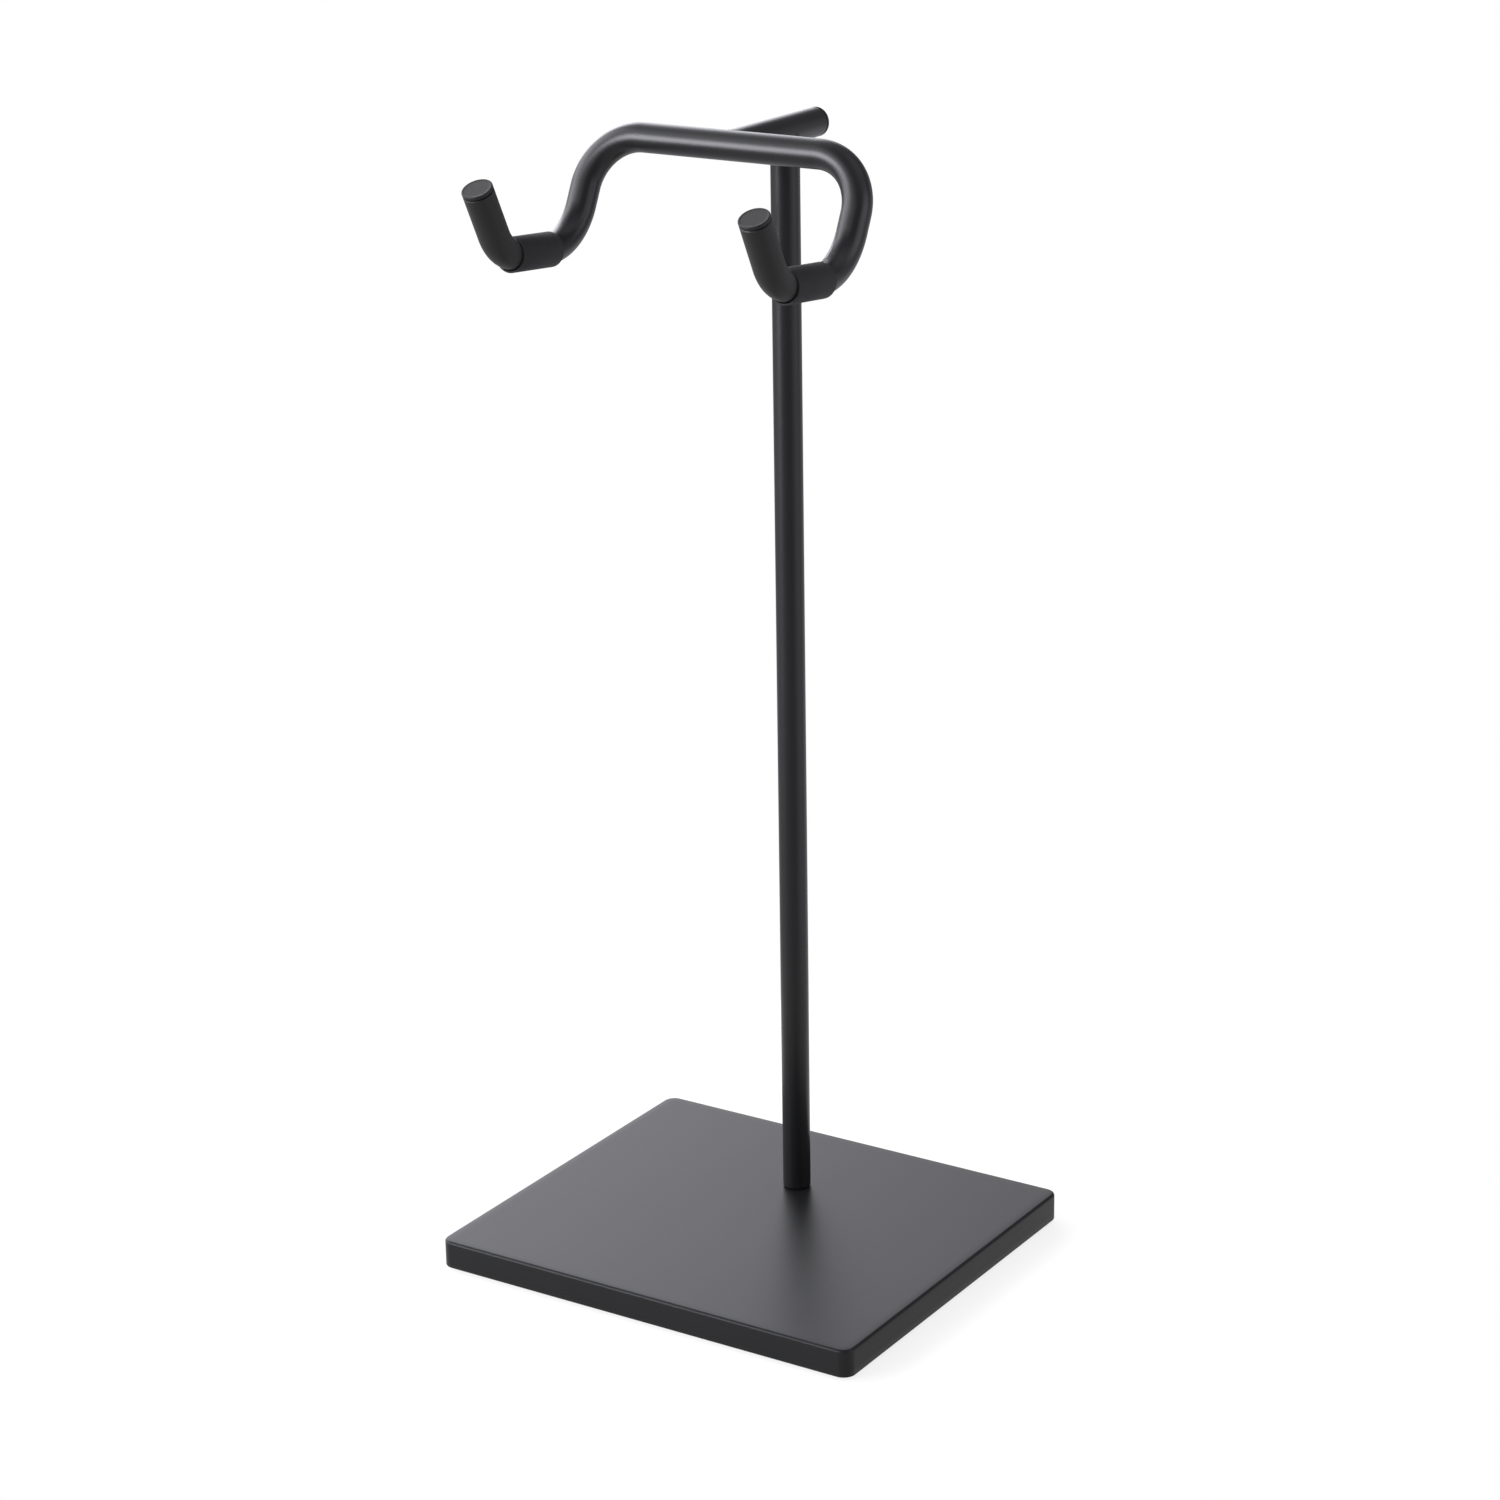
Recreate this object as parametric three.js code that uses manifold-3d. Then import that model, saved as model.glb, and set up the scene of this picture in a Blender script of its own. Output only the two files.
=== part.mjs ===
// Two-place headphone stand, in millimetres, +Z up, hooks towards -Y.
// The origin lies on the surface that the stand rests on, under the middle of its whole footprint.
import * as THREE from 'three';
import { mergeVertices } from 'three/addons/utils/BufferGeometryUtils.js';
import Module from 'manifold-3d';

const wasm = await Module();
wasm.setup();

// ---- driving dimensions ----
const BASE_WIDTH = 160;
const BASE_DEPTH = 140;
const BASE_HEIGHT = 9.5;
const BASE_CORNER_RADIUS = 4.3;
const BASE_EDGE_RADIUS = 1;
const SHEET = 1.2;
const LINING_THICKNESS = 0.7;
const FLOOR_GAP = 1.2;
const TOTAL_HEIGHT = 380;

const TUBE_RADIUS = 4.75;
const TUBE_WALL = 1.2;

const POST_Y = 28.3;
const SPINE_REAR_Y = 47.6;
const CROSSBAR_Y = -3.5;
const HOOK_SPACING = 99.5;

const SHOULDER_RADIUS = 17.5;
const LEG_DROP = 33.3;
const LEG_LEAN = THREE.MathUtils.degToRad(25.6);
const HEEL_RADIUS = 20;
const SEAT_REACH = 37.6;
const SEAT_RISE = THREE.MathUtils.degToRad(5.1);
const TOE_RADIUS = 14.2;
const TIP_LENGTH = 25.5;
const TIP_RISE = THREE.MathUtils.degToRad(63.5);

const SLEEVE_RADIUS = 5.58;
const SLEEVE_LENGTH = 21.3;
const SLEEVE_FRONT_INSET = 4.3;
const SLEEVE_LIP = 0.25;
const COVER_RADIUS = 4.97;
const COVER_BORE_RADIUS = 4.8;
const COVER_HIDDEN_LENGTH = 1;

const CAP_FLANGE = 1.2;
const CAP_STEM_LENGTH = 9;
const CAP_STEM_CHAMFER = 0.5;
// The cap's rounded rim, as [inset from the edge, depth below the face] pairs.
const CAP_RIM = [[0, 0.35], [0.1, 0.12], [0.4, 0]];
const FOOT_RADIUS = 8;
const FOOT_HEIGHT = 1.5;
const FOOT_BEVEL = 0.3;
const FOOT_INSET = 14;

const SCREW_RADIUS = 2.5;
const SCREW_HEAD_RADIUS = 4.75;
const SCREW_HEAD_FACE_RADIUS = 3.6;
const SCREW_HEAD_HEIGHT = 2.3;
const SCREW_REACH = 16;
const SCREW_TIP_CHAMFER = 0.5;
const SOCKET_RADIUS = 1.73;
const SOCKET_DEPTH = 1.4;
const ACCESS_HOLE_RADIUS = 6.75;
const WASHER_RADIUS = 8;
const WASHER_THICKNESS = 1.2;
const PLUG_LENGTH = 22;

// Play between pieces that slide or press together, and between pieces that are only neighbours.
const SLIP = 0.1;
const CLEARANCE = 0.3;
const SIDES = 24;
const BORE_SIDES = 16;
const HEXAGON = 6;

// ---- heights and places that follow from them ----
const TUBE_BORE_RADIUS = TUBE_RADIUS - TUBE_WALL;
const BASE_TOP = FLOOR_GAP + BASE_HEIGHT;
const SHEET_UNDERSIDE = BASE_TOP - SHEET;
const TUBE_AXIS_Z = TOTAL_HEIGHT - TUBE_RADIUS;

const STEEL_BLACK = new THREE.MeshStandardMaterial({ color: 0x2b2b2e, roughness: 0.45, metalness: 0.3 });
const SLEEVE_BLACK = new THREE.MeshStandardMaterial({ color: 0x232325, roughness: 0.85, metalness: 0 });
const COVER_BLACK = new THREE.MeshStandardMaterial({ color: 0x2c2c2c, roughness: 0.75, metalness: 0 });
const CAP_BLACK = new THREE.MeshStandardMaterial({ color: 0x3a3a3c, roughness: 0.6, metalness: 0 });
const PAD_BLACK = new THREE.MeshStandardMaterial({ color: 0x1a1a1a, roughness: 0.9, metalness: 0 });
const BARE_STEEL = new THREE.MeshStandardMaterial({ color: 0x8f9194, roughness: 0.4, metalness: 0.9 });

// ---- helpers ----

// A path of straight runs with a round bend at each inner corner. Each run is one step and each bend
// BEND_STEPS steps, so every tube that follows the same bend has its rings in the same planes.
const BEND_STEPS = 8;

class BentPath extends THREE.Curve {
  constructor(corners, radii) {
    super();
    this.stretches = [];
    let from = corners[0];
    radii.forEach((radius, i) => {
      const corner = corners[i + 1];
      const back = corners[i].clone().sub(corner).normalize();
      const ahead = corners[i + 2].clone().sub(corner).normalize();
      const turn = Math.PI - back.angleTo(ahead);
      const setback = radius * Math.tan(turn / 2);
      const start = corner.clone().addScaledVector(back, setback);
      const end = corner.clone().addScaledVector(ahead, setback);
      const inward = back.clone().add(ahead).normalize();
      const centre = corner.clone().addScaledVector(inward, radius / Math.cos(turn / 2));
      this.stretches.push({ steps: 1, from, to: start });
      this.stretches.push({ steps: BEND_STEPS, centre, radius, turn, start, tangent: back.negate() });
      from = end;
    });
    this.stretches.push({ steps: 1, from, to: corners[corners.length - 1] });
    this.steps = this.stretches.reduce((sum, stretch) => sum + stretch.steps, 0);
  }

  locate(u) {
    let place = u * this.steps;
    for (const stretch of this.stretches) {
      if (place <= stretch.steps + 1e-9) return { stretch, share: place / stretch.steps };
      place -= stretch.steps;
    }
    return { stretch: this.stretches[this.stretches.length - 1], share: 1 };
  }

  getPointAt(u) {
    const { stretch, share } = this.locate(u);
    if (stretch.from) return stretch.from.clone().lerp(stretch.to, share);
    const angle = share * stretch.turn;
    const outward = stretch.start.clone().sub(stretch.centre);
    return stretch.centre.clone()
      .addScaledVector(outward, Math.cos(angle))
      .addScaledVector(stretch.tangent, stretch.radius * Math.sin(angle));
  }

  getTangentAt(u) {
    const { stretch, share } = this.locate(u);
    if (stretch.from) return stretch.to.clone().sub(stretch.from).normalize();
    const angle = share * stretch.turn;
    const outward = stretch.start.clone().sub(stretch.centre).normalize();
    return stretch.tangent.clone().multiplyScalar(Math.cos(angle))
      .addScaledVector(outward, -Math.sin(angle)).normalize();
  }
}

function circle(radius, sides, kind = THREE.Shape) {
  const points = [];
  for (let i = 0; i < sides; i += 1) {
    const angle = (2 * Math.PI * i) / sides;
    points.push(new THREE.Vector2(radius * Math.cos(angle), radius * Math.sin(angle)));
  }
  return new kind(points);
}

function sweep(path, radius, boreRadius = 0) {
  const section = circle(radius, SIDES);
  const thin = radius - boreRadius < CLEARANCE;
  if (boreRadius) section.holes.push(circle(boreRadius, thin ? SIDES : BORE_SIDES, THREE.Path));
  return new THREE.ExtrudeGeometry(section, { steps: path.steps, extrudePath: path, curveSegments: 1 });
}

// A turned piece from an outline of [radius, height] pairs, walked with the material on its left.
function turned(outline, sides = SIDES) {
  return new THREE.LatheGeometry(outline.map(([r, h]) => new THREE.Vector2(r, h)), sides);
}

function ring(outer, inner, low, high) {
  return turned([[inner, low], [outer, low], [outer, high], [inner, high], [inner, low]]);
}

function disc(radius, low, high, bevel = 0) {
  const outline = [[0, low], [radius - bevel, low], [radius, low + bevel]];
  outline.push([radius, high - bevel], [radius - bevel, high], [0, high]);
  return turned(bevel ? outline : outline.filter((point, i) => i !== 2 && i !== 4));
}

// Stands a turned piece on +Z at (x, y).
function upright(geometry, x = 0, y = 0) {
  return geometry.rotateX(Math.PI / 2).translate(x, y, 0);
}

// Lifts a turned piece, which is made along +Y, to height z.
function alongY(geometry, z) {
  return geometry.translate(0, 0, z);
}

// A rectangular plate with round corners in plan. edge rounds its top and bottom edges.
function roundedPlate(width, depth, radius, low, high, edge = 0) {
  const x = width / 2 - edge;
  const y = depth / 2 - edge;
  const r = radius - edge;
  const plan = new THREE.Shape();
  plan.moveTo(x, -y + r);
  plan.lineTo(x, y - r);
  plan.absarc(x - r, y - r, r, 0, Math.PI / 2);
  plan.absarc(-x + r, y - r, r, Math.PI / 2, Math.PI);
  plan.absarc(-x + r, -y + r, r, Math.PI, 1.5 * Math.PI);
  plan.absarc(x - r, -y + r, r, 1.5 * Math.PI, 2 * Math.PI);
  const geometry = new THREE.ExtrudeGeometry(plan, {
    depth: high - low - 2 * edge,
    bevelEnabled: edge > 0,
    bevelThickness: edge,
    bevelSize: edge,
    bevelSegments: 4,
    curveSegments: 8,
  });
  return geometry.translate(0, 0, low + edge);
}

function solid(geometry) {
  const bare = geometry.clone();
  bare.deleteAttribute('normal');
  bare.deleteAttribute('uv');
  const merged = mergeVertices(bare, 1e-4);
  const vertProperties = new Float32Array(merged.attributes.position.array);
  const triVerts = new Uint32Array(merged.index.array);
  return new wasm.Manifold(new wasm.Mesh({ numProp: 3, vertProperties, triVerts }));
}

// The geometry with each tool's volume taken out of it.
function cut(geometry, ...tools) {
  const result = tools.reduce((left, tool) => left.subtract(solid(tool)), solid(geometry)).getMesh();
  const out = new THREE.BufferGeometry();
  out.setAttribute('position', new THREE.BufferAttribute(new Float32Array(result.vertProperties), 3));
  out.setIndex(new THREE.BufferAttribute(new Uint32Array(result.triVerts), 1));
  out.computeVertexNormals();
  return out;
}

const stand = new THREE.Group();

function add(name, geometry, material) {
  const mesh = new THREE.Mesh(geometry, material);
  mesh.name = name;
  stand.add(mesh);
  return mesh;
}

// ---- base ----

// Drawn steel cover: flat top, small edge radius, skirt all round, open below, one screw hole.
function baseCover() {
  const block = roundedPlate(BASE_WIDTH, BASE_DEPTH, BASE_CORNER_RADIUS,
    FLOOR_GAP - BASE_CORNER_RADIUS, BASE_TOP, BASE_EDGE_RADIUS);
  const below = new THREE.BoxGeometry(2 * BASE_WIDTH, 2 * BASE_DEPTH, 2 * BASE_WIDTH);
  below.translate(0, 0, FLOOR_GAP - BASE_WIDTH);
  const cavity = roundedPlate(BASE_WIDTH - 2 * SHEET, BASE_DEPTH - 2 * SHEET, BASE_CORNER_RADIUS - SHEET,
    0, SHEET_UNDERSIDE);
  const hole = upright(disc(SCREW_RADIUS + CLEARANCE, 0, 2 * BASE_TOP), 0, POST_Y);
  return cut(block, below, cavity, hole);
}

const LINING_LOW = FOOT_HEIGHT + SLIP;
const LINING_HIGH = LINING_LOW + LINING_THICKNESS;
const WEIGHT_LOW = LINING_HIGH + CLEARANCE;
const WEIGHT_HIGH = SHEET_UNDERSIDE - CLEARANCE;
const INNER_WIDTH = BASE_WIDTH - 2 * (SHEET + CLEARANCE);
const INNER_DEPTH = BASE_DEPTH - 2 * (SHEET + CLEARANCE);
const INNER_CORNER_RADIUS = BASE_CORNER_RADIUS - SHEET - CLEARANCE;
const HEAD_LOW = LINING_HIGH + CLEARANCE;
const HEAD_HIGH = HEAD_LOW + SCREW_HEAD_HEIGHT;
const WASHER_HIGH = HEAD_HIGH + SLIP + WASHER_THICKNESS;

// Steel ballast plate, counterbored from below for the screw head and its washer.
function baseWeight() {
  const plate = roundedPlate(INNER_WIDTH, INNER_DEPTH, INNER_CORNER_RADIUS, WEIGHT_LOW, WEIGHT_HIGH);
  const hole = upright(disc(SCREW_RADIUS + CLEARANCE, 0, 2 * BASE_TOP), 0, POST_Y);
  const pocket = upright(disc(WASHER_RADIUS + CLEARANCE, 0, WASHER_HIGH + SLIP), 0, POST_Y);
  return cut(plate, hole, pocket);
}

// Thin sheet that closes the base from below, with a hole for the key that turns the screw.
function baseLining() {
  const sheet = roundedPlate(INNER_WIDTH, INNER_DEPTH, INNER_CORNER_RADIUS, LINING_LOW, LINING_HIGH);
  return cut(sheet, upright(disc(ACCESS_HOLE_RADIUS, 0, BASE_TOP), 0, POST_Y));
}

function addFeet() {
  for (const [row, ySide] of [['front', -1], ['rear', 1]]) {
    for (const [column, xSide] of [['left', -1], ['right', 1]]) {
      const foot = upright(disc(FOOT_RADIUS, 0, FOOT_HEIGHT, FOOT_BEVEL),
        xSide * (BASE_WIDTH / 2 - FOOT_INSET), ySide * (BASE_DEPTH / 2 - FOOT_INSET));
      add(`foot_${row}_${column}`, foot, PAD_BLACK);
    }
  }
}

// ---- post and its fixing ----

// A rod along +Y, a little thicker than a tube. Cutting a tube's end by it leaves the saddle that fits
// round the next tube.
function saddleRod() {
  return disc(TUBE_RADIUS + CLEARANCE, -BASE_DEPTH, BASE_DEPTH);
}

function postTube() {
  const foot = BASE_TOP + SLIP;
  const tube = upright(ring(TUBE_RADIUS, TUBE_BORE_RADIUS, foot, TUBE_AXIS_Z), 0, POST_Y);
  return cut(tube, alongY(saddleRod(), TUBE_AXIS_Z));
}

// Threaded insert pressed into the foot of the post.
function postPlug() {
  const low = BASE_TOP + SLIP;
  return upright(ring(TUBE_BORE_RADIUS - SLIP, SCREW_RADIUS + SLIP, low, low + PLUG_LENGTH), 0, POST_Y);
}

function postWasher() {
  const low = HEAD_HIGH + SLIP;
  return upright(ring(WASHER_RADIUS, SCREW_RADIUS + SLIP, low, low + WASHER_THICKNESS), 0, POST_Y);
}

// Screw from below: button head with a hexagon socket, shank up into the insert.
function postScrew() {
  const top = BASE_TOP + SCREW_REACH;
  const shoulder = HEAD_LOW + SCREW_HEAD_HEIGHT / 2;
  const body = turned([
    [0, HEAD_LOW], [SCREW_HEAD_FACE_RADIUS, HEAD_LOW], [SCREW_HEAD_RADIUS, shoulder],
    [SCREW_HEAD_RADIUS, HEAD_HIGH], [SCREW_RADIUS, HEAD_HIGH], [SCREW_RADIUS, top - SCREW_TIP_CHAMFER],
    [SCREW_RADIUS - SCREW_TIP_CHAMFER, top], [0, top],
  ]);
  const floor = HEAD_LOW + SOCKET_DEPTH;
  const socket = turned([[0, 0], [SOCKET_RADIUS, 0], [SOCKET_RADIUS, floor], [0, floor]], HEXAGON);
  return cut(upright(body, 0, POST_Y), upright(socket, 0, POST_Y));
}

// ---- spine: the short tube from the post's top to the crossbar ----

function spineTube() {
  const rear = SPINE_REAR_Y - CAP_FLANGE - SLIP;
  const tube = alongY(ring(TUBE_RADIUS, TUBE_BORE_RADIUS, CROSSBAR_Y, rear), TUBE_AXIS_Z);
  const crossbar = saddleRod().rotateZ(Math.PI / 2).translate(0, CROSSBAR_Y, TUBE_AXIS_Z);
  return cut(tube, crossbar);
}

// A tube end plug: a thin flange with a rounded rim, and a stem inside the tube. Its outer face is at
// height 0 and the stem points down.
function endPlug(flangeRadius) {
  const stem = TUBE_BORE_RADIUS - SLIP;
  const bottom = -CAP_STEM_LENGTH - CAP_FLANGE;
  const rim = CAP_RIM.map(([inset, depth]) => [flangeRadius - inset, -depth]);
  return turned([
    [0, bottom], [stem - CAP_STEM_CHAMFER, bottom], [stem, bottom + CAP_STEM_CHAMFER],
    [stem, -CAP_FLANGE], [flangeRadius, -CAP_FLANGE], ...rim, [0, 0],
  ]);
}

// ---- hooks ----

const CROSSBAR_END = new THREE.Vector3(HOOK_SPACING / 2, CROSSBAR_Y, TUBE_AXIS_Z);
const LEG = new THREE.Vector3(0, -LEG_DROP * Math.tan(LEG_LEAN), -LEG_DROP);
const SEAT_DIRECTION = new THREE.Vector3(0, -Math.cos(SEAT_RISE), Math.sin(SEAT_RISE));
const TIP_DIRECTION = new THREE.Vector3(0, -Math.cos(TIP_RISE), Math.sin(TIP_RISE));
const HEEL = CROSSBAR_END.clone().add(LEG);
const TOE = HEEL.clone().addScaledVector(SEAT_DIRECTION, SEAT_REACH);
const TIP = TOE.clone().addScaledVector(TIP_DIRECTION, TIP_LENGTH);
const TUBE_END = TIP.clone().addScaledVector(TIP_DIRECTION, -CAP_FLANGE - SLIP);
const TOE_SETBACK = TOE_RADIUS * Math.tan((TIP_RISE - SEAT_RISE) / 2);
const COVER_START = TOE.clone().addScaledVector(SEAT_DIRECTION, -TOE_SETBACK - COVER_HIDDEN_LENGTH);

function mirrored(point, side) {
  return new THREE.Vector3(side * point.x, point.y, point.z);
}

// One tube bent six times: left tip, left hook, crossbar, right hook, right tip.
function hookPath() {
  const left = [TUBE_END, TOE, HEEL, CROSSBAR_END].map((point) => mirrored(point, -1));
  const right = [CROSSBAR_END, HEEL, TOE, TUBE_END];
  const radii = [TOE_RADIUS, HEEL_RADIUS, SHOULDER_RADIUS, SHOULDER_RADIUS, HEEL_RADIUS, TOE_RADIUS];
  return new BentPath([...left, ...right], radii);
}

function coverPath(side, extra = 0) {
  const start = COVER_START.clone().addScaledVector(SEAT_DIRECTION, -extra);
  const end = TUBE_END.clone().addScaledVector(TIP_DIRECTION, extra);
  return new BentPath([start, TOE, end].map((point) => mirrored(point, side)), [TOE_RADIUS]);
}

// Turns a piece made about +Y to stand on `direction` with its zero height at `place`.
function aim(geometry, place, direction) {
  const turn = new THREE.Quaternion().setFromUnitVectors(new THREE.Vector3(0, 1, 0), direction);
  return geometry.applyQuaternion(turn).translate(place.x, place.y, place.z);
}

// Straight soft sleeve round the seat. Its mouth reaches past the start of the upward bend, so the
// covered tube comes out of it slightly above the middle.
function sleeve(side) {
  const mouth = -SLEEVE_FRONT_INSET;
  const straight = disc(SLEEVE_RADIUS, mouth - SLEEVE_LENGTH, mouth, SLEEVE_LIP);
  const rod = aim(straight, mirrored(TOE, side), SEAT_DIRECTION);
  const tubeRoom = sweep(hookPath(), TUBE_RADIUS + SLIP);
  const coverRoom = sweep(coverPath(side, CLEARANCE), COVER_RADIUS + SLIP);
  return cut(rod, tubeRoom, coverRoom);
}

// ---- assembly ----

add('base_cover', baseCover(), STEEL_BLACK);
add('base_weight', baseWeight(), BARE_STEEL);
add('base_lining', baseLining(), PAD_BLACK);
addFeet();
add('post_screw', postScrew(), BARE_STEEL);
add('post_washer', postWasher(), BARE_STEEL);
add('post_plug', postPlug(), BARE_STEEL);
add('post_tube', postTube(), STEEL_BLACK);
add('spine_tube', spineTube(), STEEL_BLACK);
add('spine_plug', aim(endPlug(TUBE_RADIUS), new THREE.Vector3(0, SPINE_REAR_Y, TUBE_AXIS_Z),
  new THREE.Vector3(0, 1, 0)), CAP_BLACK);
add('hook_tube', sweep(hookPath(), TUBE_RADIUS, TUBE_BORE_RADIUS), STEEL_BLACK);
for (const [name, side] of [['left', -1], ['right', 1]]) {
  add(`sleeve_${name}`, sleeve(side), SLEEVE_BLACK);
  add(`tip_cover_${name}`, sweep(coverPath(side), COVER_RADIUS, COVER_BORE_RADIUS), COVER_BLACK);
  add(`tip_plug_${name}`, aim(endPlug(COVER_RADIUS), mirrored(TIP, side), TIP_DIRECTION), CAP_BLACK);
}

// The hook tips reach past the front of the base, so the middle of the footprint lies between the
// base's rear edge and the tips.
const FRONT_REACH = TIP.y - COVER_RADIUS * Math.sin(TIP_RISE);
stand.position.y = -(FRONT_REACH + BASE_DEPTH / 2) / 2;

export default stand;
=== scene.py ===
# Looks of the two-place headphone stand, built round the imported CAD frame. Metres, +Z up, hooks to -Y.
import math

import bmesh
import bpy
from mathutils import Matrix, Vector


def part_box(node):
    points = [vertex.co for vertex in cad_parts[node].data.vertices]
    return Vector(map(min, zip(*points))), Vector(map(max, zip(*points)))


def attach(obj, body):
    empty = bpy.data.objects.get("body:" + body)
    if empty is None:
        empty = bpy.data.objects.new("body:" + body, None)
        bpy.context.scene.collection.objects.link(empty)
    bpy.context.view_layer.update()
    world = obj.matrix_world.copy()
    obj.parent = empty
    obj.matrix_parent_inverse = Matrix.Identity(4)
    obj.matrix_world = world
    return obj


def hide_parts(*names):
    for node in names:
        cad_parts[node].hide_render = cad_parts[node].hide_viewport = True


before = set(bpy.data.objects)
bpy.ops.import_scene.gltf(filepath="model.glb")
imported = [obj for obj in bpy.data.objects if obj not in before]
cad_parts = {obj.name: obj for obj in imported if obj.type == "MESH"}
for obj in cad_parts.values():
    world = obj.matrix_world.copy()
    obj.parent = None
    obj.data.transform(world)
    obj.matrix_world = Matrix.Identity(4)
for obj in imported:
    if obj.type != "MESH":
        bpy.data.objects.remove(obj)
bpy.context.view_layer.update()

MM = 0.001
BODY = "root"

# ---------------------------------------------------------------- sizes read off the frame
POST_LOW, POST_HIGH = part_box("post_tube")
HOOK_LOW, HOOK_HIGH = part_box("hook_tube")
BASE_LOW, BASE_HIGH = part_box("base_cover")
LINING_LOW, LINING_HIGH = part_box("base_lining")
WEIGHT_LOW, WEIGHT_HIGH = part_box("base_weight")
SCREW_LOW, SCREW_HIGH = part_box("post_screw")
WASHER_LOW, WASHER_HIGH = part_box("post_washer")
INSERT_LOW, INSERT_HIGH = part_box("post_plug")
SPINE_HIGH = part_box("spine_tube")[1]
SPINE_PLUG_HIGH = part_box("spine_plug")[1]

TUBE_RADIUS = (POST_HIGH.x - POST_LOW.x) / 2
TUBE_Z = SPINE_HIGH.z - TUBE_RADIUS
POST_Y = (POST_LOW.y + POST_HIGH.y) / 2
HOOK_X = HOOK_HIGH.x - TUBE_RADIUS
CROSSBAR_Y = HOOK_HIGH.y - TUBE_RADIUS
BASE_Y = (BASE_LOW.y + BASE_HIGH.y) / 2
BASE_WIDTH = BASE_HIGH.x - BASE_LOW.x
BASE_DEPTH = BASE_HIGH.y - BASE_LOW.y

# ---------------------------------------------------------------- design sizes, as in the CAD model
TUBE_WALL = 1.2 * MM
TUBE_BORE_RADIUS = TUBE_RADIUS - TUBE_WALL
SHOULDER_RADIUS = 17.5 * MM
LEG_DROP = 33.3 * MM
LEG_LEAN = math.radians(25.6)
HEEL_RADIUS = 20 * MM
SEAT_REACH = 37.6 * MM
SEAT_RISE = math.radians(5.1)
TOE_RADIUS = 14.2 * MM
TIP_LENGTH = 25.5 * MM
TIP_RISE = math.radians(63.5)
SLEEVE_RADIUS = 5.58 * MM
SLEEVE_LENGTH = 21.3 * MM
SLEEVE_FRONT_INSET = 4.3 * MM
COVER_RADIUS = 4.97 * MM
COVER_WALL = 0.17 * MM
COVER_HIDDEN_LENGTH = 1 * MM
CAP_FLANGE = 1.2 * MM
SHEET = 1.2 * MM
SLIP = 0.1 * MM
CLEARANCE = 0.3 * MM
BASE_CORNER_RADIUS = 4.3 * MM
BASE_EDGE_RADIUS = 1.0 * MM
INNER_CORNER_RADIUS = BASE_CORNER_RADIUS - SHEET - CLEARANCE
ACCESS_HOLE_RADIUS = 6.75 * MM
SCREW_RADIUS = 2.5 * MM
SCREW_HEAD_HEIGHT = 2.3 * MM
SOCKET_DEPTH = 1.4 * MM

# ---------------------------------------------------------------- finer details that only the looks have
HOOK_END_EASE = 0.1 * MM
COVER_END_EASE = 0.14 * MM
SLEEVE_LIP = 0.14 * MM
SLEEVE_PLAY = 0.06 * MM
SLEEVE_THINNEST = 0.1 * MM
# The bore of a sleeve widens for the cover this far before the cover's hidden end.
SLEEVE_STEP_LEAD = 0.4 * MM

# The dark seam between a cap's flange and the end of its tube.
CAP_SEAM = 0.35 * MM
CAP_LENGTH = 10 * MM
CAP_STEM_ROUND = 0.5 * MM
CAP_FLANGE_ROUND = 0.22 * MM
CAP_FACE_ROUND = 0.3 * MM
CAP_RECESS = 0.05 * MM
# A cap's face from its rim to its middle, as (share of the radius, depth): flat, in a shallow recess.
CAP_FACE = ((0.86, 0), (0.84, CAP_RECESS), (0.82, CAP_RECESS), (0.78, CAP_RECESS), (0, CAP_RECESS))

POST_FOOT_ROUND = 0.7 * MM
SPINE_EDGE = 0.15 * MM
SPINE_BEAD = 0.25 * MM
POST_BEAD = 0.2 * MM
BEAD_RIPPLES = 11
BEAD_RIPPLE_SHARE = 0.1
BEAD_LEAST_SHARE = 0.1

BASE_RIM = 0.25 * MM
BASE_TOP_INSET = 3.5 * MM
BASE_HOLE_RADIUS = 2.9 * MM
LINING_EDGE = 0.2 * MM
BALLAST_EDGE = 0.4 * MM
FOOT_LOWER_ROUND = 0.45 * MM
FOOT_UPPER_ROUND = 0.25 * MM
SCREW_FACE_SHARE = 0.7
SCREW_CHEEK_HEIGHT = 1.2 * MM
SCREW_FACE_ROUND = 0.5 * MM
SCREW_CHEEK_ROUND = 0.6 * MM
SOCKET_TO_FLATS = 1.5 * MM
THREAD_PITCH = 0.8 * MM
THREAD_DEPTH = 0.35 * MM
SCREW_TIP_CHAMFER = 0.4 * MM
WASHER_BORE_RADIUS = 2.65 * MM
INSERT_BORE_RADIUS = SCREW_RADIUS + SLIP
INSERT_CHAMFER = 0.3 * MM

# ---------------------------------------------------------------- fineness of the meshes
AROUND = 72
FIXING_AROUND = 48
BEAD_AROUND = 10
SEAM_STEPS = 96
FLOOR_AROUND = 96
BEND_STEP = math.radians(3)
EDGE_STEPS = 5
BASE_EDGE_STEPS = 8
CORNER_STEPS = 12
SLEEVE_BORE_STEPS = 26
POST_RING_SHARES = (0.25, 0.5, 0.75, 0.98)
BASE_WALL_SHARES = (0.33, 0.66)
EASE_SHARE = 0.3
SHARP_ANGLE = math.radians(35)
# The radius of a ring that stands for a point on the axis, and how near points are to be merged.
LEAST_RADIUS = 0.001 * MM
SAME_POINT = 0.0001 * MM

# A noise value counts as lowest up to the first of these, and as highest from the second.
NOISE_LOW = 0.3
NOISE_HIGH = 0.7


# ---------------------------------------------------------------- node materials
def add_node(tree, kind, **inputs):
    """Adds a node and sets inputs by name: from_min is the input called From Min."""
    node = tree.nodes.new(kind)
    for name, value in inputs.items():
        node.inputs[name.replace("_", " ").title()].default_value = value
    return node


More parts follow.
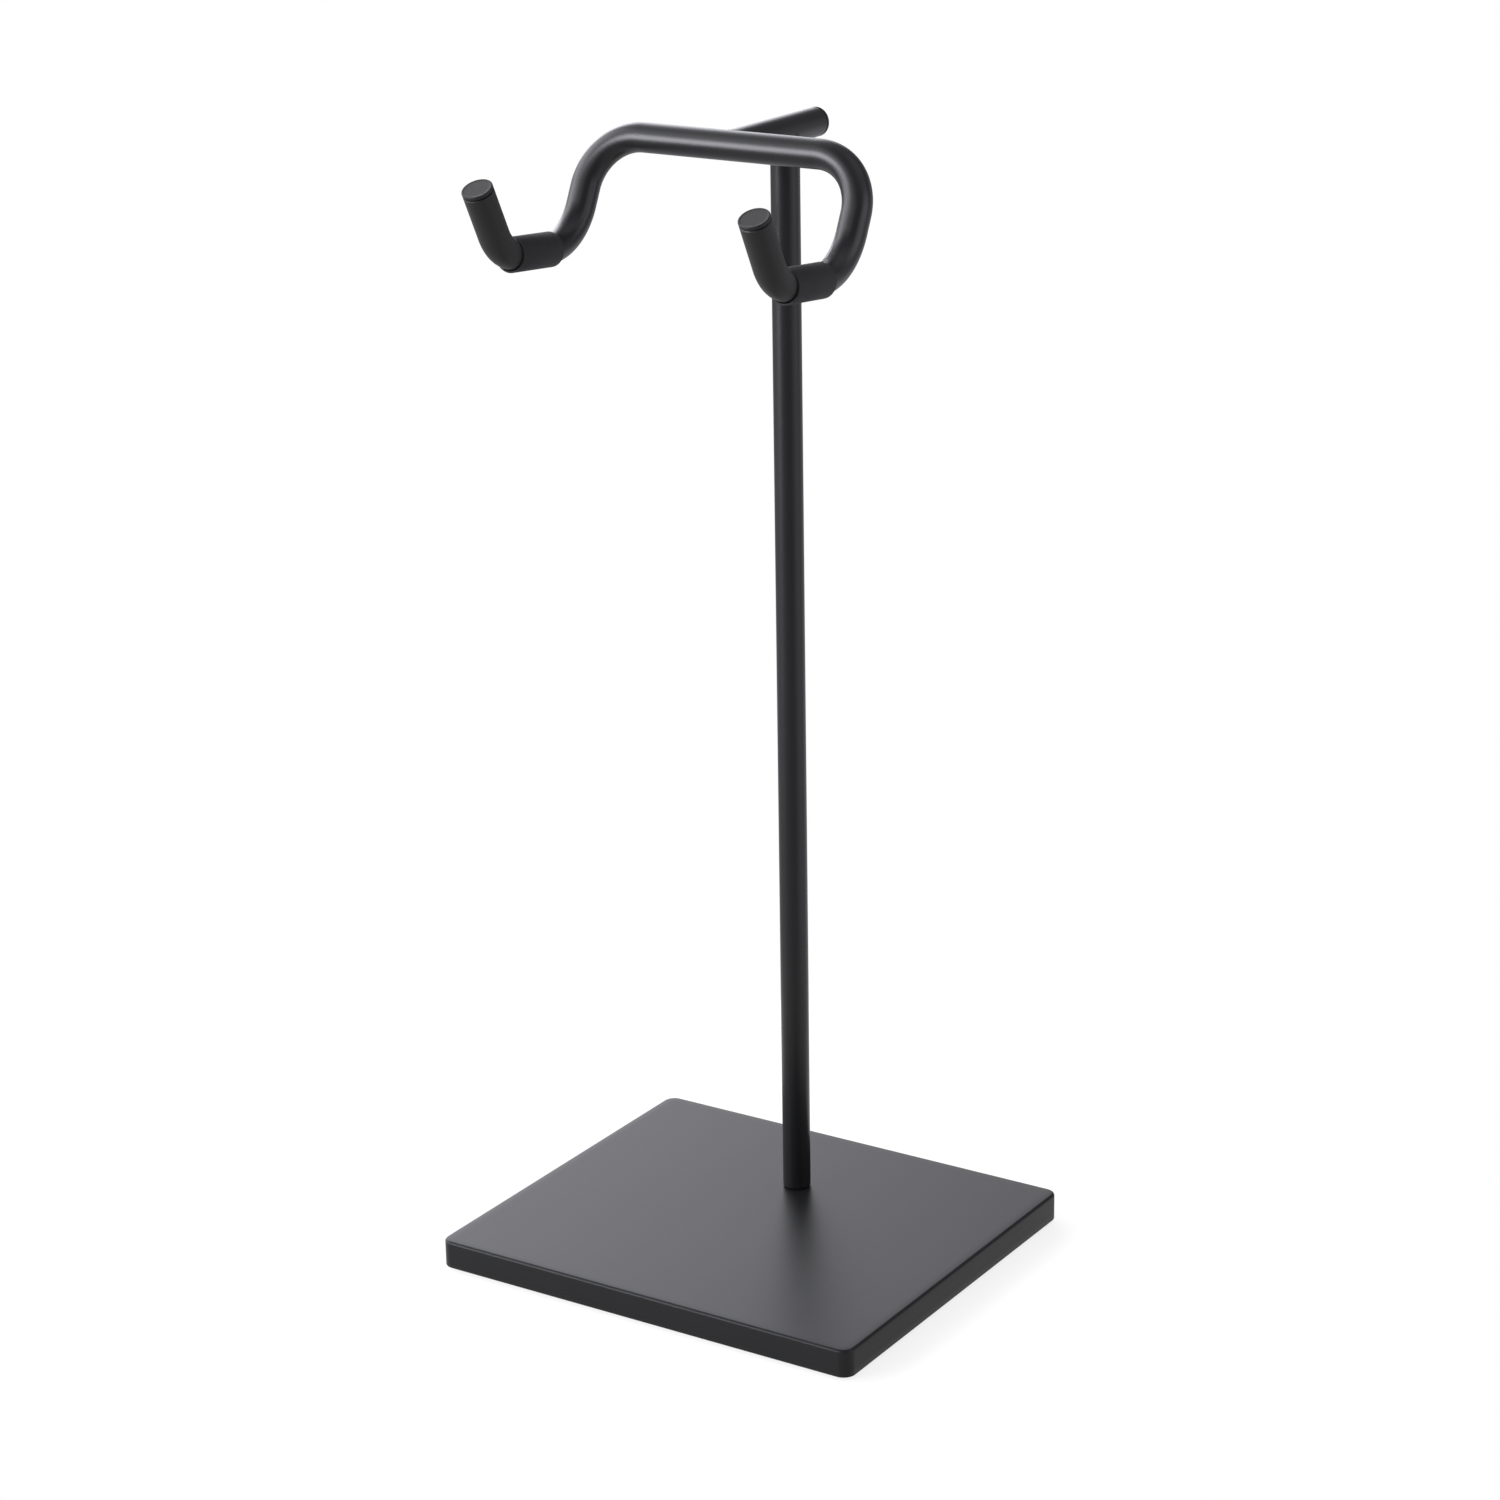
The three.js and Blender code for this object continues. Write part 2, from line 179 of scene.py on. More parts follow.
def new_material(name, colour, roughness, specular, metallic=0.0):
    material = bpy.data.materials.new(name)
    material.use_nodes = True
    shader = material.node_tree.nodes["Principled BSDF"]
    shader.inputs["Base Color"].default_value = (*colour, 1)
    shader.inputs["Roughness"].default_value = roughness
    shader.inputs["Specular IOR Level"].default_value = specular
    shader.inputs["Metallic"].default_value = metallic
    return material, material.node_tree, shader


def place_in(tree):
    """The place on the object, in metres."""
    return add_node(tree, "ShaderNodeTexCoord").outputs["Object"]


def noise(tree, place, scale, detail, roughness=0.5):
    node = add_node(tree, "ShaderNodeTexNoise", scale=scale, detail=detail, roughness=roughness)
    tree.links.new(place, node.inputs["Vector"])
    return node.outputs["Fac"]


def vary_colour(tree, shader, value, colour, darkest, lightest):
    """Colours the surface from the darkest share of a colour to the lightest, by a noise value."""
    ramp = add_node(tree, "ShaderNodeValToRGB")
    steps = ((NOISE_LOW, darkest), (NOISE_HIGH, lightest))
    for stop, (position, share) in zip(ramp.color_ramp.elements, steps):
        stop.position = position
        stop.color = (*(channel * share for channel in colour), 1)
    tree.links.new(value, ramp.inputs["Fac"])
    tree.links.new(ramp.outputs["Color"], shader.inputs["Base Color"])


def vary_roughness(tree, shader, value, at_low, at_high):
    """Takes the roughness from at_low to at_high, by a noise value."""
    node = add_node(tree, "ShaderNodeMapRange", from_min=NOISE_LOW, from_max=NOISE_HIGH,
                    to_min=at_low, to_max=at_high)
    tree.links.new(value, node.inputs["Value"])
    tree.links.new(node.outputs["Result"], shader.inputs["Roughness"])


def bump(tree, shader, *layers):
    """Stacks bump layers, each of (height value, strength, distance)."""
    normal = None
    for height, strength, distance in layers:
        node = add_node(tree, "ShaderNodeBump", strength=strength, distance=distance)
        tree.links.new(height, node.inputs["Height"])
        if normal:
            tree.links.new(normal, node.inputs["Normal"])
        normal = node.outputs["Normal"]
    tree.links.new(normal, shader.inputs["Normal"])


def powder_coat(name, colour, roughness, spread, texture, specular):
    """Fine powder coat: orange peel and a finer grain, with slightly uneven gloss and shade."""
    material, tree, shader = new_material(name, colour, roughness, specular)
    place = place_in(tree)
    peel = noise(tree, place, scale=900, detail=3)
    grain = noise(tree, place, scale=3800, detail=2)
    cloud = noise(tree, place, scale=18, detail=3)
    vary_colour(tree, shader, cloud, colour, darkest=0.9, lightest=1.1)
    vary_roughness(tree, shader, grain, roughness - spread, roughness + spread)
    bump(tree, shader, (peel, 0.16 * texture, 0.06 * MM), (grain, 0.14 * texture, 0.03 * MM))
    return material


def matt_rubber(name, colour, roughness, grain_scale, texture, specular):
    """Soft matt rubber: dense fine grain and a faint cloudy bloom."""
    material, tree, shader = new_material(name, colour, roughness, specular)
    place = place_in(tree)
    grain = noise(tree, place, grain_scale, detail=2)
    bloom = noise(tree, place, scale=90, detail=4, roughness=0.6)
    vary_colour(tree, shader, bloom, colour, darkest=0.88, lightest=1.14)
    vary_roughness(tree, shader, bloom, roughness - 0.05, roughness + 0.05)
    bump(tree, shader, (grain, 0.5 * texture, 0.04 * MM))
    return material


def moulded_plastic(name, colour, roughness):
    """Moulded plastic with a fine spark-eroded texture."""
    material, tree, shader = new_material(name, colour, roughness, specular=0.18)
    place = place_in(tree)
    spark = noise(tree, place, scale=2600, detail=2)
    cloud = noise(tree, place, scale=60, detail=2)
    vary_colour(tree, shader, cloud, colour, darkest=0.93, lightest=1.07)
    vary_roughness(tree, shader, spark, roughness - 0.06, roughness + 0.06)
    bump(tree, shader, (spark, 0.4, 0.03 * MM))
    return material


def plated_steel(name, colour, roughness):
    """Zinc-plated steel: cloudy passivation over a fine grain."""
    material, tree, shader = new_material(name, colour, roughness, specular=0.5, metallic=1.0)
    place = place_in(tree)
    cloud = noise(tree, place, scale=220, detail=3)
    grain = noise(tree, place, scale=3000, detail=1)
    vary_colour(tree, shader, cloud, colour, darkest=0.85, lightest=1.1)
    vary_roughness(tree, shader, cloud, roughness - 0.08, roughness + 0.1)
    bump(tree, shader, (grain, 0.25, 0.02 * MM))
    return material


def raw_steel(name, colour, roughness):
    """Hot-rolled plate: dark mill scale, with lighter and smoother scuffs."""
    material, tree, shader = new_material(name, colour, roughness, specular=0.5, metallic=0.8)
    scuffs = noise(tree, place_in(tree), scale=130, detail=5, roughness=0.65)
    vary_colour(tree, shader, scuffs, colour, darkest=0.6, lightest=1.4)
    vary_roughness(tree, shader, scuffs, roughness + 0.15, roughness - 0.1)
    bump(tree, shader, (scuffs, 0.3, 0.1 * MM))
    return material


COAT = powder_coat("powder_coat_tube", (0.0055, 0.0055, 0.0058), roughness=0.34, spread=0.03,
                   texture=0.8, specular=0.25)
COAT_BASE = powder_coat("powder_coat_base", (0.0055, 0.0056, 0.006), roughness=0.4, spread=0.02,
                        texture=0.3, specular=0.15)
SLEEVE_RUBBER = matt_rubber("sleeve_rubber", (0.0085, 0.0085, 0.0092), roughness=0.75,
                            grain_scale=2600, texture=1.0, specular=0.25)
COVER_RUBBER = matt_rubber("cover_rubber", (0.0075, 0.0075, 0.0072), roughness=0.5,
                           grain_scale=3200, texture=0.7, specular=0.2)
FOOT_RUBBER = matt_rubber("foot_rubber", (0.02, 0.02, 0.02), roughness=0.85,
                          grain_scale=1800, texture=1.0, specular=0.25)
CAP_PLASTIC = moulded_plastic("cap_plastic", (0.0075, 0.0075, 0.0073), roughness=0.5)
LINING_PLASTIC = moulded_plastic("lining_plastic", (0.03, 0.03, 0.031), roughness=0.6)
ZINC = plated_steel("zinc_plated_steel", (0.62, 0.62, 0.64), roughness=0.3)
BALLAST_STEEL = raw_steel("ballast_steel", (0.16, 0.155, 0.15), roughness=0.5)


# ---------------------------------------------------------------- mesh helpers
def angles(count=AROUND):
    return [2 * math.pi * k / count for k in range(count)]


def ring_faces(rings, around, closed):
    """Quads between neighbouring rings. The last ring meets the first if closed, or both are capped."""
    faces = []
    for i in range(rings if closed else rings - 1):
        low = i * around
        high = (i + 1) % rings * around
        for j in range(around):
            k = (j + 1) % around
            faces.append((low + j, low + k, high + k, high + j))
    if not closed:
        last = (rings - 1) * around
        faces.append(tuple(reversed(range(around))))
        faces.append(tuple(range(last, last + around)))
    return faces


def piece(name, rings, material, slot, *nodes, closed=True):
    """A smooth mesh through rings of equal length, which rides on the body and replaces CAD nodes."""
    vertices = [vertex for ring in rings for vertex in ring]
    mesh = bpy.data.meshes.new(name)
    mesh.from_pydata(vertices, [], ring_faces(len(rings), len(rings[0]), closed))
    work = bmesh.new()
    work.from_mesh(mesh)
    bmesh.ops.remove_doubles(work, verts=work.verts, dist=SAME_POINT)
    bmesh.ops.recalc_face_normals(work, faces=work.faces)
    work.to_mesh(mesh)
    work.free()
    mesh.shade_smooth()
    mesh.set_sharp_from_angle(angle=SHARP_ANGLE)
    mesh.materials.append(material)
    made = bpy.data.objects.new(name, mesh)
    bpy.context.scene.collection.objects.link(made)
    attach(made, BODY)
    if nodes:
        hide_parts(*nodes)


def rounded(outline, radii):
    """An open outline of 2-D points, with the corners whose numbers are in radii replaced by arcs."""
    points = []
    for i, corner in enumerate(outline):
        here = Vector(corner)
        radius = radii.get(i)
        if not radius:
            points.append(here)
            continue
        back = (Vector(outline[i - 1]) - here).normalized()
        ahead = (Vector(outline[i + 1]) - here).normalized()
        half = back.angle(ahead) / 2
        centre = here + (back + ahead).normalized() * (radius / math.sin(half))
        start = here + back * (radius / math.tan(half)) - centre
        sweep = math.pi - 2 * half
        side = 1 if back.cross(ahead) < 0 else -1
        for step in range(EDGE_STEPS + 1):
            points.append(centre + Matrix.Rotation(side * sweep * step / EDGE_STEPS, 2) @ start)
    return points


def eased(edge):
    """The steps of an eased edge, as (inset, height) from its face to its side."""
    return (edge, 0), (EASE_SHARE * edge, EASE_SHARE * edge), (0, edge)


def hexagon(angle):
    """How far a hexagon reaches at an angle, where its flats are at a distance of 1."""
    return 1 / math.cos(angle % (math.pi / 3) - math.pi / 6)


def turned(name, outline, place, material, slot, node, around=AROUND, closed=False, six_sided=()):
    """A turned solid. outline holds (radius, height) points, and place maps the turning axis Z to the
    object's frame. A point on the axis becomes a ring of the least radius. The points whose numbers are
    in six_sided make hexagons, measured to their flats."""
    rings = []
    for i, (radius, height) in enumerate(outline):
        radius = max(radius, LEAST_RADIUS)
        ring = []
        for a in angles(around):
            reach = radius * hexagon(a) if i in six_sided else radius
            ring.append(place @ Vector((reach * math.cos(a), reach * math.sin(a), height)))
        rings.append(ring)
    piece(name, rings, material, slot, node, closed=closed)


def placed(point, direction):
    """Maps +Z at the origin to `direction` at `point`."""
    turn = Vector((0, 0, 1)).rotation_difference(direction).to_matrix().to_4x4()
    return Matrix.Translation(point) @ turn


# ---------------------------------------------------------------- hooks
CROSSBAR_END = Vector((HOOK_X, CROSSBAR_Y, TUBE_Z))
SEAT_DIRECTION = Vector((0, -math.cos(SEAT_RISE), math.sin(SEAT_RISE)))
TIP_DIRECTION = Vector((0, -math.cos(TIP_RISE), math.sin(TIP_RISE)))
HEEL = CROSSBAR_END + Vector((0, -LEG_DROP * math.tan(LEG_LEAN), -LEG_DROP))
TOE = HEEL + SEAT_DIRECTION * SEAT_REACH
TIP = TOE + TIP_DIRECTION * TIP_LENGTH
TUBE_END = TIP - TIP_DIRECTION * (CAP_FLANGE + CAP_SEAM)
TOE_SETBACK = TOE_RADIUS * math.tan((TIP_RISE - SEAT_RISE) / 2)


def mirrored(point, side):
    return Vector((side * point.x, point.y, point.z))


def bent_stations(corners, radii):
    """Points with unit tangents along straight runs joined by round bends."""
    stations = [(corners[0], (corners[1] - corners[0]).normalized())]
    for corner, before, after, radius in zip(corners[1:], corners, corners[2:], radii):
        back = (before - corner).normalized()
        ahead = (after - corner).normalized()
        turn = math.pi - back.angle(ahead)
        start = corner + back * (radius * math.tan(turn / 2))
        centre = corner + (back + ahead).normalized() * (radius / math.cos(turn / 2))
        outward = (start - centre).normalized()
        steps = math.ceil(turn / BEND_STEP)
        for i in range(steps + 1):
            angle = turn * i / steps
            point = centre + radius * (math.cos(angle) * outward - math.sin(angle) * back)
            tangent = -math.cos(angle) * back - math.sin(angle) * outward
            stations.append((point, tangent))
    stations.append((corners[-1], (corners[-1] - corners[-2]).normalized()))
    return stations


def tube_rings(stations, radius):
    """Circles round the stations, with a frame carried along without twist."""
    rings = []
    tangent = stations[0][1]
    across = tangent.orthogonal().normalized()
    for point, new_tangent in stations:
        across = tangent.rotation_difference(new_tangent) @ across
        tangent = new_tangent
        up = tangent.cross(across)
        rings.append([point + radius * (math.cos(a) * across + math.sin(a) * up) for a in angles()])
    return rings


def shrunk(ring, share):
    centre = sum(ring, Vector()) / len(ring)
    return [centre.lerp(point, share) for point in ring]


def tube_piece(name, stations, radius, wall, ease, material, slot, node):
    """A tube along the stations. Its outer edge at the last one is eased by `ease`."""
    end, direction = stations[-1]
    stations = stations[:-1] + [(end - direction * ease, direction), (end, direction)]
    outer = tube_rings(stations, radius)
    inner = tube_rings(stations, radius - wall)
    outer[-1] = shrunk(outer[-1], 1 - ease / radius)
    piece(name, outer + inner[::-1], material, slot, node)


def make_hook_tube():
    """Both hooks and the crossbar, as one bent tube from the left tip to the right one."""
    left = [mirrored(point, -1) for point in (TUBE_END, TOE, HEEL, CROSSBAR_END)]
    right = [CROSSBAR_END, HEEL, TOE, TUBE_END]
    radii = (TOE_RADIUS, HEEL_RADIUS, SHOULDER_RADIUS, SHOULDER_RADIUS, HEEL_RADIUS, TOE_RADIUS)
    stations = bent_stations(left + right, radii)
    tube_piece("bent_hook_tube", stations, TUBE_RADIUS, TUBE_WALL, HOOK_END_EASE, COAT, "black_steel",
               "hook_tube")


def make_tip_cover(name, side):
    start = TOE - SEAT_DIRECTION * (TOE_SETBACK + COVER_HIDDEN_LENGTH)
    corners = [mirrored(point, side) for point in (start, TOE, TUBE_END)]
    stations = bent_stations(corners, (TOE_RADIUS,))
    tube_piece(f"shrink_cover_{name}", stations, COVER_RADIUS, COVER_WALL, COVER_END_EASE, COVER_RUBBER,
               "black_cover", f"tip_cover_{name}")


def make_end_plug(name, point, direction, radius, node):
    """A plug whose flange has rounded edges and a flat face, and whose face is at the point."""
    stem = TUBE_BORE_RADIUS - SLIP
    outline = [(0, -CAP_LENGTH), (stem, -CAP_LENGTH), (stem, -CAP_FLANGE), (radius, -CAP_FLANGE)]
    outline += [(radius, 0)]
    outline += [(share * radius, -depth) for share, depth in CAP_FACE]
    shape = rounded(outline, {1: CAP_STEM_ROUND, 3: CAP_FLANGE_ROUND, 4: CAP_FACE_ROUND})
    turned(name, shape, placed(point, direction), CAP_PLASTIC, "black_plastic", node)


def make_sleeve(name, side):
    """Straight soft tube round the seat. The covered bend leaves its mouth a little high, so the bore
    makes room for it above and the mouth gapes a little below."""
    toe = mirrored(TOE, side)
    mouth = toe - SEAT_DIRECTION * SLEEVE_FRONT_INSET
    tail = mouth - SEAT_DIRECTION * SLEEVE_LENGTH
    up = Vector((0, math.sin(SEAT_RISE), math.cos(SEAT_RISE)))
    across = Vector((1, 0, 0))
    bend_start = toe - SEAT_DIRECTION * TOE_SETBACK

    def bore(point, angle):
        along = (point - bend_start).dot(SEAT_DIRECTION)
        lift = TOE_RADIUS - math.sqrt(TOE_RADIUS ** 2 - along ** 2) if along > 0 else 0
        covered = along > -(COVER_HIDDEN_LENGTH + SLEEVE_STEP_LEAD)
        clear = (COVER_RADIUS if covered else TUBE_RADIUS) + SLEEVE_PLAY
        reach = lift * math.sin(angle) + math.sqrt(clear ** 2 - (lift * math.cos(angle)) ** 2)
        return min(max(reach, clear), SLEEVE_RADIUS - SLEEVE_THINNEST)

    def ring(at, radius_at):
        return [at + (math.cos(a) * across + math.sin(a) * up) * radius_at(a) for a in angles()]

    rings = []
    for inset, along in eased(SLEEVE_LIP):
        rings.append(ring(tail + SEAT_DIRECTION * along, lambda a: SLEEVE_RADIUS - inset))
    for inset, along in reversed(eased(SLEEVE_LIP)):
        rings.append(ring(mouth - SEAT_DIRECTION * along, lambda a: SLEEVE_RADIUS - inset))
    for i in range(SLEEVE_BORE_STEPS + 1):
        at = mouth.lerp(tail, i / SLEEVE_BORE_STEPS)
        rings.append(ring(at, lambda a: bore(at, a)))
    piece(f"soft_sleeve_{name}", rings, SLEEVE_RUBBER, "black_rubber", f"sleeve_{name}")


# ---------------------------------------------------------------- post, spine and welds
def saddle(offset):
    """How far a tube's surface is from its middle plane, at an offset from its centre line."""
    return math.sqrt(max(TUBE_RADIUS ** 2 - offset ** 2, 0))


def make_post():
    """The upright tube, rounded at its foot and fitted to the spine at its top."""
    low = POST_LOW.z
    reach = TUBE_Z - 2 * TUBE_RADIUS - low

    def ring(radius, height):
        return [Vector((radius * math.cos(a), POST_Y + radius * math.sin(a), height)) for a in angles()]

    def top(radius):
        return [Vector((radius * math.cos(a), POST_Y + radius * math.sin(a),
                        TUBE_Z - saddle(radius * math.cos(a)))) for a in angles()]

    rings = [ring(TUBE_BORE_RADIUS, low)]
    for i in range(EDGE_STEPS + 1):
        a = math.pi / 2 * i / EDGE_STEPS
        inset = POST_FOOT_ROUND * (1 - math.sin(a))
        rise = POST_FOOT_ROUND * (1 - math.cos(a))
        rings.append(ring(TUBE_RADIUS - inset, low + rise))
    for share in POST_RING_SHARES:
        rings.append(ring(TUBE_RADIUS, low + share * reach))
    rings += [top(TUBE_RADIUS), top(TUBE_BORE_RADIUS)]
    piece("round_post", rings, COAT, "black_steel", "post_tube")


def make_spine():
    """The front-to-back tube, fitted to the crossbar at its front."""
    rear = SPINE_HIGH.y
    past_saddle = CROSSBAR_Y + 1.6 * TUBE_RADIUS

    def ring(radius, y):
        return [Vector((radius * math.cos(a), y, TUBE_Z + radius * math.sin(a))) for a in angles()]

    def front(radius):
        return [Vector((radius * math.cos(a), CROSSBAR_Y + saddle(radius * math.sin(a)),
                        TUBE_Z + radius * math.sin(a))) for a in angles()]

    rings = [front(TUBE_BORE_RADIUS), front(TUBE_RADIUS), ring(TUBE_RADIUS, past_saddle),
             ring(TUBE_RADIUS, rear - SPINE_EDGE), ring(TUBE_RADIUS - SPINE_EDGE, rear),
             ring(TUBE_BORE_RADIUS, rear)]
    piece("spine", rings, COAT, "black_steel", "spine_tube")


def weld_bead(name, seam, size):
    """A coated fillet weld along a closed seam of (point, recess), slightly rippled. It runs out where
    the recess does, at the two places where the tubes' surfaces touch."""
    count = len(seam)
    centre = sum((point for point, recess in seam), Vector()) / count
    rings = []
    for i, (point, recess) in enumerate(seam):
        tangent = (seam[(i + 1) % count][0] - seam[i - 1][0]).normalized()
        outward = point - centre
        across = (outward - outward.project(tangent)).normalized()
        up = tangent.cross(across)
        fullness = BEAD_LEAST_SHARE + (1 - BEAD_LEAST_SHARE) * min(1, 2 * recess / TUBE_RADIUS)
        ripple = 1 + BEAD_RIPPLE_SHARE * math.sin(2 * math.pi * BEAD_RIPPLES * i / count)
        swell = size * fullness * ripple
        rings.append([point + swell * (math.cos(a) * across + math.sin(a) * up)
                      for a in angles(BEAD_AROUND)])
    piece(name, rings, COAT, "black_steel")


def make_welds():
    spine_seam = []
    post_seam = []
    for a in angles(SEAM_STEPS):
        side = TUBE_RADIUS * math.cos(a)
        rise = TUBE_RADIUS * math.sin(a)
        spine_recess = saddle(rise)
        spine_seam.append((Vector((side, CROSSBAR_Y + spine_recess, TUBE_Z + rise)), spine_recess))
        post_recess = saddle(side)
        post_seam.append((Vector((side, POST_Y + rise, TUBE_Z - post_recess)), post_recess))
    weld_bead("weld_spine_crossbar", spine_seam, SPINE_BEAD)
    weld_bead("weld_post_spine", post_seam, POST_BEAD)


# ---------------------------------------------------------------- base
def plan_ring(width, depth, radius, height):
    """A rounded rectangle about the base's centre, corner by corner from the right rear one."""
    points = []
    x = width / 2 - radius
    y = depth / 2 - radius
    for corner, (cx, cy) in enumerate(((x, y), (-x, y), (-x, -y), (x, -y))):
        for i in range(CORNER_STEPS + 1):
            a = math.pi / 2 * (corner + i / CORNER_STEPS)
            points.append(Vector((cx + radius * math.cos(a), BASE_Y + cy + radius * math.sin(a), height)))
    return points


def hole_ring(radius, height, count):
    """A circle round the post's axis, whose points go round in step with a plan ring's corners."""
    ring = []
    for k in range(count):
        a = 2 * math.pi * (k + 0.5) / count
        ring.append(Vector((radius * math.cos(a), POST_Y + radius * math.sin(a), height)))
    return ring


def make_base_cover():
    """Drawn sheet cover, open below, with a hole for the screw under the post."""
    low, high = BASE_LOW.z, BASE_HIGH.z
    ceiling = high - SHEET
    wall_height = high - BASE_EDGE_RADIUS - low

    def outer(inset, height):
        return plan_ring(BASE_WIDTH - 2 * inset, BASE_DEPTH - 2 * inset,
                         BASE_CORNER_RADIUS - inset, height)

    rings = [outer(SHEET - BASE_RIM, low)]
    rings += [outer(inset, low + rise) for inset, rise in eased(BASE_RIM)]
    rings += [outer(0, low + share * wall_height) for share in BASE_WALL_SHARES]
    for i in range(BASE_EDGE_STEPS + 1):
        a = math.pi / 2 * i / BASE_EDGE_STEPS
        inset = BASE_EDGE_RADIUS * (1 - math.cos(a))
        drop = BASE_EDGE_RADIUS * (1 - math.sin(a))
        rings.append(outer(inset, high - drop))
    rings.append(outer(BASE_TOP_INSET, high))
    rings.append(hole_ring(BASE_HOLE_RADIUS, high, len(rings[0])))
    rings.append(hole_ring(BASE_HOLE_RADIUS, ceiling, len(rings[0])))
    rings.append(outer(BASE_TOP_INSET, ceiling))
    rings.append(outer(SHEET, ceiling))
    rings.append(outer(SHEET, low + BASE_RIM))
    piece("drawn_base_cover", rings, COAT_BASE, "black_steel", "base_cover")


def make_plate(name, low, high, edge, hole, material, slot, node):
    """A flat plate with rounded corners. edge holds its edge's (inset, height) steps from a face to the
    side, and hole the (radius, height) rings of the one hole on the post's axis, from the top down."""
    width = high.x - low.x
    depth = high.y - low.y

    def outer(inset, height):
        return plan_ring(width - 2 * inset, depth - 2 * inset, INNER_CORNER_RADIUS - inset, height)

    rings = [outer(inset, low.z + rise) for inset, rise in edge]
    rings += [outer(inset, high.z - drop) for inset, drop in reversed(edge)]
    rings += [hole_ring(radius, height, len(rings[0])) for radius, height in hole]
    piece(name, rings, material, slot, node)


def make_ballast():
    """The ballast plate's hole is a counterbore for the screw head and washer."""
    hole = SCREW_RADIUS + CLEARANCE
    pocket = WASHER_HIGH.x + CLEARANCE
    ceiling = WASHER_HIGH.z + SLIP
    steps = ((hole, WEIGHT_HIGH.z), (hole, ceiling), (pocket, ceiling), (pocket, WEIGHT_LOW.z))
    chamfer = ((BALLAST_EDGE, 0), (0, BALLAST_EDGE))
    make_plate("ballast_plate", WEIGHT_LOW, WEIGHT_HIGH, chamfer, steps, BALLAST_STEEL, "ballast",
               "base_weight")


def make_lining():
    hole = ((ACCESS_HOLE_RADIUS, LINING_HIGH.z), (ACCESS_HOLE_RADIUS, LINING_LOW.z))
    make_plate("lining_sheet", LINING_LOW, LINING_HIGH, eased(LINING_EDGE), hole, LINING_PLASTIC,
               "black_plastic", "base_lining")


def make_feet():
    for row in ("front", "rear"):
        for column in ("left", "right"):
            node = f"foot_{row}_{column}"
            low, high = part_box(node)
            radius = (high.x - low.x) / 2
            height = high.z - low.z
            outline = rounded([(0, 0), (radius, 0), (radius, height), (0, height)],
                              {1: FOOT_LOWER_ROUND, 2: FOOT_UPPER_ROUND})
            centre = Vector(((low.x + high.x) / 2, (low.y + high.y) / 2, low.z))
            turned(f"pad_{row}_{column}", outline, Matrix.Translation(centre), FOOT_RUBBER,
                   "black_rubber", node)


# ---------------------------------------------------------------- fixing of the post
def fixing(name, outline, node, closed=False, six_sided=()):
    """A turned piece of plated steel on the post's axis."""
    turned(name, outline, Matrix.Translation(Vector((0, POST_Y, 0))), ZINC, "bare_steel", node,
           around=FIXING_AROUND, closed=closed, six_sided=six_sided)


def make_screw():
    """Screw with its rounded head down, a hexagonal socket in it, and a thread of plain grooves."""
    low = SCREW_LOW.z
    head_radius = SCREW_HIGH.x
    head_top = low + SCREW_HEAD_HEIGHT
    outline = [(0, low + SOCKET_DEPTH), (SOCKET_TO_FLATS, low + SOCKET_DEPTH), (SOCKET_TO_FLATS, low),
               (SCREW_FACE_SHARE * head_radius, low), (head_radius, low + SCREW_CHEEK_HEIGHT),
               (head_radius, head_top), (SCREW_RADIUS, head_top)]
    shape = rounded(outline, {3: SCREW_FACE_ROUND, 4: SCREW_CHEEK_ROUND})
    height = head_top + THREAD_PITCH
    while height < SCREW_HIGH.z - THREAD_PITCH:
        shape.append((SCREW_RADIUS, height))
        shape.append((SCREW_RADIUS - THREAD_DEPTH, height + THREAD_PITCH / 2))
        height += THREAD_PITCH
    shape.append((SCREW_RADIUS - SCREW_TIP_CHAMFER, SCREW_HIGH.z))
    shape.append((0, SCREW_HIGH.z))
    fixing("fixing_screw", shape, "post_screw", six_sided=(1, 2))


def make_washer():
    radius, low, high = WASHER_HIGH.x, WASHER_LOW.z, WASHER_HIGH.z
    outline = [(WASHER_BORE_RADIUS, low), (radius, low), (radius, high), (WASHER_BORE_RADIUS, high)]
    fixing("flat_washer", outline, "post_washer", closed=True)


def make_insert():
    """The threaded bush in the foot of the post, chamfered outside at both ends."""
    radius, low, high = INSERT_HIGH.x, INSERT_LOW.z, INSERT_HIGH.z
    face = radius - INSERT_CHAMFER
    outline = [(INSERT_BORE_RADIUS, low), (face, low), (radius, low + INSERT_CHAMFER),
               (radius, high - INSERT_CHAMFER), (face, high), (INSERT_BORE_RADIUS, high)]
    fixing("threaded_insert", outline, "post_plug", closed=True)


# ---------------------------------------------------------------- camera, floor and light
CAMERA_PLACE = Vector((0.6530, -1.0101, 0.5807))
CAMERA_YAW = math.radians(32.78)
CAMERA_DOWN = math.radians(18.53)
CAMERA_ROLL = math.radians(0.87)
# Focal length and sensor width, in millimetres.
CAMERA_LENS = 93.5
CAMERA_SENSOR = 36

WHITE = (1, 1, 1, 1)
PAPER = (0.2, 0.2, 0.188)
FLOOR_RADIUS = 0.22
FLOOR_GLOW = 0.78
LIGHT_TINT = (0.978, 0.98, 1.042)
ROOM_GLOW = 0.3
